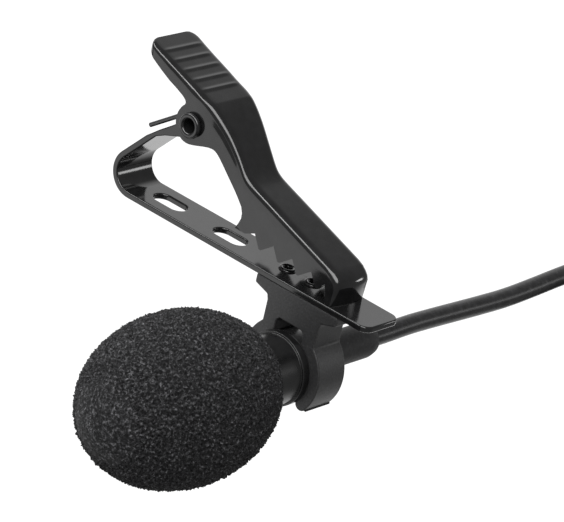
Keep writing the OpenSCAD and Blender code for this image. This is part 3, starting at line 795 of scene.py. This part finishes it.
# Torsion spring, whose two legs press on the strip and on the lever
springPlan = {
    "wire": 0.55, "sides": 12, "coil": 1.55, "pitch": 1.0, "turns": 3, "coilPoints": 96,
    "lower": 47.98 + 168.5, "upper": 137,
    "lowerLeg": (8.2, 7.6, 6, 4, 2, 0.8), "upperLeg": (0.6, 2, 4, 6, 6.8, 7.3), "blendHalf": 1.5,
}


def springRoute():
    p = springPlan
    start, end = p["lower"] - 90, p["upper"] + 90
    sweep = 360 * p["turns"] + end - start
    half = p["pitch"] * sweep / 720

    def coil(a):
        t = math.radians(start + a)
        return Vector((pivotAt[0] + p["coil"] * math.cos(t), pivotAt[1] + p["coil"] * math.sin(t),
                       half - 2 * half * a / sweep))

    def leg(at, degrees, reaches):
        a = math.radians(degrees)
        return [at + Vector((s * math.cos(a), s * math.sin(a), 0)) for s in reaches]

    wound = [coil(sweep * i / p["coilPoints"]) for i in range(p["coilPoints"] + 1)]
    return leg(coil(0), p["lower"], p["lowerLeg"]) + wound + leg(coil(sweep), p["upper"], p["upperLeg"])


spring = sweepTube("torsionWire", springRoute(), springPlan["wire"], springPlan["sides"])
dress(spring, None, "springSteel", "spring_steel", "torsion_spring")
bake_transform(spring)

# Foam windscreen: a fine net of points, pressed into open cells
foamPlan = {
    "radius": 9.6, "half": 12.9, "mid": 19.6, "mouth": 5.6, "socket": 4.35, "depth": 15.3,
    "rings": 215, "around": 400, "rough": 0.27, "pit": 0.26, "cell": 0.44, "fill": 0.7,
}


def foamOutline():
    p = foamPlan
    low, top = math.asin(-math.sqrt(1 - (p["mouth"] / p["radius"]) ** 2)), math.radians(90)
    skin = []
    for i in range(p["rings"]):
        t = low + (top - low) * i / p["rings"]
        skin.append((p["radius"] * math.cos(t), p["mid"] + p["half"] * math.sin(t)))
    skin.append((0, p["mid"] + p["half"]))
    base = skin[0][1]
    lip = [(p["socket"], base + 0.25), (p["socket"] + 0.15, base + 0.05), (p["socket"] + 0.4, base),
           (5.0, base), (5.3, base)]
    socket = [(0, p["depth"])] + [(p["socket"] * f, p["depth"]) for f in (0.3, 0.6, 1)]
    socket += [(p["socket"], p["depth"] - 0.7 * n) for n in range(1, 8)]
    return socket + lip + skin


def makeFoam():
    p = foamPlan
    obj = turned("foamWindscreen", foamOutline(), micAt, steps=p["around"], smooth=180)
    mesh = obj.data
    facing = [v.normal.copy() for v in mesh.vertices]
    for v, out in zip(mesh.vertices, facing):
        q = v.co / mm
        if math.hypot(q.x, q.y - micPlan["axisY"]) < p["socket"] + 0.1:
            continue
        near = noise.voronoi(q / p["cell"])[0]
        pit = max(0, 0.5 - near[0]) * 2
        grain = noise.noise(q * 3.7) + 0.9 * noise.noise(q * 6.7)
        push = p["rough"] * grain - p["pit"] * pit ** 1.5
        v.co += out * push * mm
    mesh.update()
    return obj


foam = dress(makeFoam(), "windscreen", "foamCells", "foam", "foam_windscreen")
print("foam ready, faces:", len(foam.data.polygons))

# Strain relief below the body
reliefPlan = {
    "top": -2.2, "plug": 3.25, "neck": -2.8, "radius": 2.05, "shoulder": -11.4, "low": -12.9, "mouth": 1.3,
    "edge": 0.35,
}


def makeRelief():
    p = reliefPlan
    outline = [
        (0, p["top"]), (p["plug"], p["top"]), (p["plug"], p["neck"]), (p["radius"], p["neck"]),
        (p["radius"], p["shoulder"]), (p["radius"] - 0.3, p["low"] + 0.35), (p["mouth"], p["low"]),
        (0, p["low"]),
    ]
    return turned("reliefSleeve", rounded(outline, p["edge"], 5), micAt, steps=72, smooth=40)


dress(makeRelief(), "microphone", "bootRubber", "boot_rubber", "strain_relief")

# Parts inside the body; felt and capsule are each a radius, a low end and a top
insidePlan = {
    "felt": (3.4, 14.0, 14.4), "feltEdge": 0.12, "fray": 0.06, "capsule": (3.0, 11.3, 14.0),
    "wireX": 0.6, "wireY": 1.2, "wireLow": -2.2, "wireTop": 10.1, "wire": 0.7, "sway": 0.25, "wirePoints": 24,
}


def joined(name, *objs):
    bm = bmesh.new()
    for obj in objs:
        bm.from_mesh(obj.data)
        bpy.data.objects.remove(obj)
    return newObject(name, bm, 60)


def makeWires():
    p = insidePlan
    made = []
    for side in (-1, 1):
        route = []
        for n in range(p["wirePoints"] + 1):
            f = n / p["wirePoints"]
            bow = p["sway"] * math.sin(math.pi * f) * math.sin(math.pi * 3 * f + side)
            z = p["wireLow"] + (p["wireTop"] - p["wireLow"]) * f
            route.append(Vector(micAt) + Vector((side * p["wireX"] + bow * side, p["wireY"] - abs(bow), z)))
        made.append(sweepTube("wire", route, p["wire"], 14))
    return joined("signalLeads", *made)


def makeFelt():
    r, low, top = insidePlan["felt"]
    edge = insidePlan["feltEdge"]
    outline = [(0, low), (r * 0.5, low), (r - 0.1, low), (r, low + edge), (r, top - edge), (r - 0.1, top),
               (r * 0.5, top), (0, top)]
    obj = turned("feltPad", outline, micAt, steps=96, smooth=180)
    for v in obj.data.vertices:
        q = v.co / mm
        if math.hypot(q.x, q.y - micPlan["axisY"]) > r - 0.05:
            fray = insidePlan["fray"] * mm * max(0, noise.noise(q * 3.3))
            v.co.x -= fray * (1 if q.x > 0 else -1)
    return obj


def makeCapsule():
    r, low, top = insidePlan["capsule"]
    outline = [
        (0, low), (r - 0.2, low), (r, low + 0.2), (r, top - 0.3), (r - 0.1, top - 0.05), (r - 0.4, top),
        (r - 0.55, top - 0.12), (r - 0.6, top - 0.2), (0.5, top - 0.2), (0.45, top - 0.35), (0, top - 0.35),
    ]
    return turned("capsuleCan", outline, micAt, steps=72, smooth=30)


dress(makeWires(), "microphone", "wireJacket", "wire_jacket", "signal_wires")
dress(makeFelt(), "microphone", "felt", "felt", "felt_disc")
dress(makeCapsule(), "microphone", "nickel", "capsule_metal", "electret_capsule")
boot = softenedCopy("capsule_boot", "capsuleCup", edgePlan["boot"])
dress(boot, "microphone", "bootRubber", "boot_rubber", "capsule_boot")
grille = cleaned(softenedCopy("front_grille", "frontGrille", edgePlan["grille"]))
dress(grille, "microphone", "micSteel", "mic_metal", "front_grille")
print("body filled")

# Strap round the hank, a woven band whose end laps over its start
strapPlan = {
    "halfX": 5.98, "halfY": 10.48, "bend": 1.75, "bendSteps": 8, "thick": 0.5, "wide": 4,
    "start": -4, "lap": 9, "lift": 0.56, "liftFrom": 5, "liftTo": 1, "taper": 1.2,
    "gap": 0.25, "across": 10, "edge": 0.12, "fray": 0.05,
}


def strapLine():
    # Places and outward directions round the hank, and the length of one whole turn
    p = strapPlan
    x, y = p["halfX"] - p["bend"], p["halfY"] - p["bend"]
    line = [(Vector((p["halfX"], p["start"])), Vector((1, 0)))]
    for cx, cy, first in ((x, y, 0), (-x, y, 90), (-x, -y, 180), (x, -y, 270)):
        for k in range(p["bendSteps"] + 1):
            a = math.radians(first + 90 * k / p["bendSteps"])
            out = Vector((math.cos(a), math.sin(a)))
            line.append((Vector((cx, cy)) + out * p["bend"], out))
    line.append(line[0])
    around = sum((b[0] - a[0]).length for a, b in zip(line, line[1:]))
    line.append((Vector((p["halfX"], p["start"] + p["lap"])), Vector((1, 0))))
    return line, around


def hankMiddle():
    p = cablePlan
    outer = p["inner"] + p["loops"] * p["step"]
    halfDepth = (p["layers"] - 1) * (p["diameter"] + p["layerGap"]) / 2
    start = Vector(add(p["from"], p["free"][-1]))
    return start + Vector((halfDepth, -outer, -p["diameter"] - p["run"] / 2))


def makeStrap():
    p = strapPlan
    line, around = strapLine()
    places = []
    run = 0
    for (a, n), (b, m) in zip(line, line[1:]):
        long = (b - a).length
        parts = max(1, math.ceil(long / p["gap"]))
        for k in range(parts):
            f = k / parts
            places.append((a.lerp(b, f), n.lerp(m, f).normalized(), run + long * f))
        run += long
    places.append((*line[-1], run))
    mid = hankMiddle()
    bm = bmesh.new()
    bm.loops.layers.uv.new("UVMap")
    bmesh.ops.create_grid(bm, x_segments=len(places) - 1, y_segments=p["across"], size=0.5, calc_uvs=True)
    for v in bm.verts:
        t = v.co.y
        at, out, s = places[round((v.co.x + 0.5) * (len(places) - 1))]
        lift = p["lift"] * smoothStep(around - p["liftFrom"], around - p["liftTo"], s)
        lift += 0.05 * noise.noise(Vector((s * 0.5, t * 3, 1)))
        short = p["taper"] - min(run - s, p["taper"])
        wide = p["wide"] - 2 * (p["taper"] - math.sqrt(max(0, p["taper"] ** 2 - short ** 2)))
        fray = p["fray"] * noise.noise(Vector((s * 2.3, t * 9, 4)))
        spot = at + out * lift
        v.co = (mid + Vector((spot.x, spot.y, t * wide + fray))) * mm
    bmesh.ops.recalc_face_normals(bm, faces=bm.faces)
    band = newObject("strapBand", bm, 50)
    addModifier(band, "cloth", "SOLIDIFY", thickness=p["thick"] * mm, offset=0)
    breakEdges(band, "softEdges", p["edge"], 2)
    return freeze(band, 50)


dress(makeStrap(), "microphone", "strapCloth", "strap", "cable_tie")
print("strap wound")

# Plug, turned about its own axis below the tail of the cord
plugPlan = {
    "boot": 8, "bootTop": 1.55, "bootLow": 2.376, "bootRings": 80, "bootSeat": 2, "ribs": 5, "ribDeep": 0.3,
    "ribFirst": 1.6, "ribPitch": 1.25, "ribWide": 0.22,
    "shell": 3.6, "shellLow": -21, "grips": 7, "gripFirst": 1.5, "gripPitch": 0.55, "gripDeep": 0.13,
    "pin": 1.75, "root": 1.55, "rootLong": 3, "bush": 1.15, "edge": 0.08,
    "sleeveLow": -27.6, "ringHigh": -28.3, "ringLow": -30.7, "tipTop": -31.4, "low": -35,
}
plugAt = tuple(c / mm for c in cableLine[-1])


def makePlugBoot():
    p = plugPlan
    top, low, rings = p["bootTop"], p["bootLow"], p["bootRings"]
    outline = [(0, 0), (top - 0.25, 0), (top - 0.07, -0.08)]
    for n in range(2, rings):
        z = -n * p["boot"] / rings
        grooves = (math.exp(-((z + p["ribFirst"] + p["ribPitch"] * k) / p["ribWide"]) ** 4)
                   for k in range(p["ribs"]))
        outline.append((top + (low - top) * n / rings - sum(p["ribDeep"] * g for g in grooves), z))
    end = -p["boot"]
    outline += [(low, end), (low, end - p["bootSeat"]), (0, end - p["bootSeat"])]
    return turned("plugBoot", outline, plugAt, smooth=40)


def makePlugShell():
    p = plugPlan
    r, top, low = p["shell"], -p["boot"], p["shellLow"]
    seat, floor = p["bootLow"] + 0.02, top - p["bootSeat"] - 0.02
    outline = [(0, floor), (seat, floor), (seat, top), (r - 0.5, top), (r, top - 0.6)]
    for n in range(p["grips"]):
        z = top - p["gripFirst"] - p["gripPitch"] * n
        deep = r - p["gripDeep"]
        outline += [(r, z), (deep, z - 0.1), (deep, z - 0.22), (r, z - 0.32)]
    root = low + p["rootLong"]
    outline += [(r, low + 0.4), (r - 0.4, low), (p["root"], low), (p["root"], root), (0, root)]
    return turned("plugShell", rounded(outline, 0.1, 3), plugAt, steps=96, smooth=30)


def makeBand(name, low, high, root=0):
    # A contact ring on its insulating bush, with a root that enters the shell
    p = plugPlan
    r, edge = p["pin"], p["edge"]
    outline = [(p["bush"], low), (r - edge, low), (r, low + edge), (r, high - edge), (r - edge, high)]
    if root:
        outline += [(p["root"], high), (p["root"], high + root)]
    outline.append((p["bush"], high + root))
    return turned(name, outline, plugAt, steps=72, closed=True, smooth=30)


def makeTip():
    p = plugPlan
    r, top, edge = p["pin"], p["tipTop"], p["edge"]
    outline = [(0, top), (r - edge, top), (r, top - edge), (r, top - 0.5), (r * 0.72, top - 1.3),
               (r * 0.95, top - 2.2), (r * 0.3, p["low"]), (0, p["low"])]
    return turned("plugPoint", rounded(outline, 0.3, 6), plugAt, steps=72, smooth=50)


dress(makePlugBoot(), "microphone", "bootRubber", "boot_rubber", "plug_relief_boot")
dress(makePlugShell(), "microphone", "micSteel", "plug_shell", "plug_barrel")
sleeve = makeBand("plugSleeve", plugPlan["sleeveLow"], plugPlan["shellLow"], plugPlan["rootLong"])
dress(sleeve, "microphone", "nickel", "plug_contact", "plug_sleeve")
ring = makeBand("plugBand", plugPlan["ringLow"], plugPlan["ringHigh"])
dress(ring, "microphone", "nickel", "plug_contact", "plug_ring")
dress(makeTip(), "microphone", "nickel", "plug_contact", "plug_tip")
print("plug turned")

onCable = ["strapBand", "plugBoot", "plugShell", "plugSleeve", "plugBand", "plugPoint"]
onCable = [bpy.data.objects[name] for name in onCable]
onCable += [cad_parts[name] for name in ("plug_insulators", "plug_core")]

# Finishes on the solids that show as they are
paintPlan = {"circuit_board": "boardGreen", "plug_insulators": "bootRubber", "plug_core": "brass"}


def paint(obj, key):
    slots = obj.data.materials
    if not slots:
        slots.append(finishes[key])
    for i in range(len(slots)):
        slots[i] = finishes[key]


for nodeName, key in paintPlan.items():
    paint(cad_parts[nodeName], key)

# Floor and lights
stagePlan = {
    "floorZ": -0.172, "half": 3.0, "white": 1.12, "dim": 0.3, "ambient": 0.3,
    "fadeFrom": -0.03, "fadeLong": 0.07, "fadeTurn": 29,
    "leftBox": {"way": (-0.534, -0.408, 0.748), "away": 0.55, "size": 0.58, "glow": 1.22},
    "topBox": {"way": (0.265, 0.69, 0.6725), "long": (0.72, -0.38, 0.11), "away": 0.6, "size": 0.64,
               "deep": 0.34, "glow": 7},
    "edgeBox": {"way": (-0.53, 0.74, 0.41), "long": (1, 0.45, 0.5), "away": 0.6, "size": 0.6, "deep": 0.16,
                "glow": 9},
    "rearBox": {"way": (0.56, 0.13, -0.818), "long": (0.82, 0, 0.57), "away": 0.2, "size": 0.06, "deep": 0.04,
                "glow": 7.5},
}


def makeFloor():
    p = stagePlan
    bm = bmesh.new()
    bmesh.ops.create_grid(bm, x_segments=1, y_segments=1, size=p["half"])
    bmesh.ops.translate(bm, vec=(0, 0, p["floorZ"]), verts=bm.verts)
    obj = newObject("studioFloor", bm)
    mat, tree, shader = startMaterial("floorWhite", (0.6, 0.6, 0.6), 0.9, level=0)
    shader.inputs["Base Color"].default_value = (0.0, 0.0, 0.0, 1)
    # The paper shines by itself, brightest behind the object, and falls off to one side.
    place = tree.nodes.new("ShaderNodeTexCoord")
    slope = tree.nodes.new("ShaderNodeMapping")
    slope.vector_type = "TEXTURE"
    slope.inputs["Location"].default_value = (p["fadeFrom"], 0.0, 0.0)
    slope.inputs["Rotation"].default_value = (0, 0, math.radians(p["fadeTurn"]))
    slope.inputs["Scale"].default_value = (p["fadeLong"],) * 3
    fade = tree.nodes.new("ShaderNodeTexGradient")
    link(tree, place, "Object", slope, "Vector")
    link(tree, slope, "Vector", fade, "Vector")
    tone = ramp(tree, fade, "Fac", [(0.0, (p["white"],) * 3), (1.0, (p["dim"],) * 3)])
    link(tree, tone, "Color", shader, "Emission Color")
    shader.inputs["Emission Strength"].default_value = 1.0
    obj.data.materials.append(mat)


def makeSoftbox(name, plan):
    data = bpy.data.lights.new(name, "AREA")
    data.shape = "ELLIPSE"
    data.size = plan["size"]
    data.size_y = plan.get("deep", plan["size"])
    data.energy = math.pi ** 2 * data.size * data.size_y / 4 * plan["glow"]
    obj = bpy.data.objects.new(name, data)
    way = Vector(plan["way"]).normalized()
    obj.location = way * plan["away"]
    along = Vector(plan.get("long", (1, 0, 0)))
    along = (along - way * along.dot(way)).normalized()
    obj.rotation_euler = Matrix((along, way.cross(along), way)).transposed().to_euler()
    bpy.context.scene.collection.objects.link(obj)


def makeWorld():
    world = bpy.data.worlds.new("studioWhite")
    world.use_nodes = True
    sky = world.node_tree.nodes["Background"]
    sky.inputs["Color"].default_value = (1, 1, 1, 1)
    sky.inputs["Strength"].default_value = stagePlan["ambient"]
    bpy.context.scene.world = world


makeFloor()
makeWorld()
for side in ("left", "top", "edge", "rear"):
    makeSoftbox(side + "Softbox", stagePlan[side + "Box"])
print("stage ready")
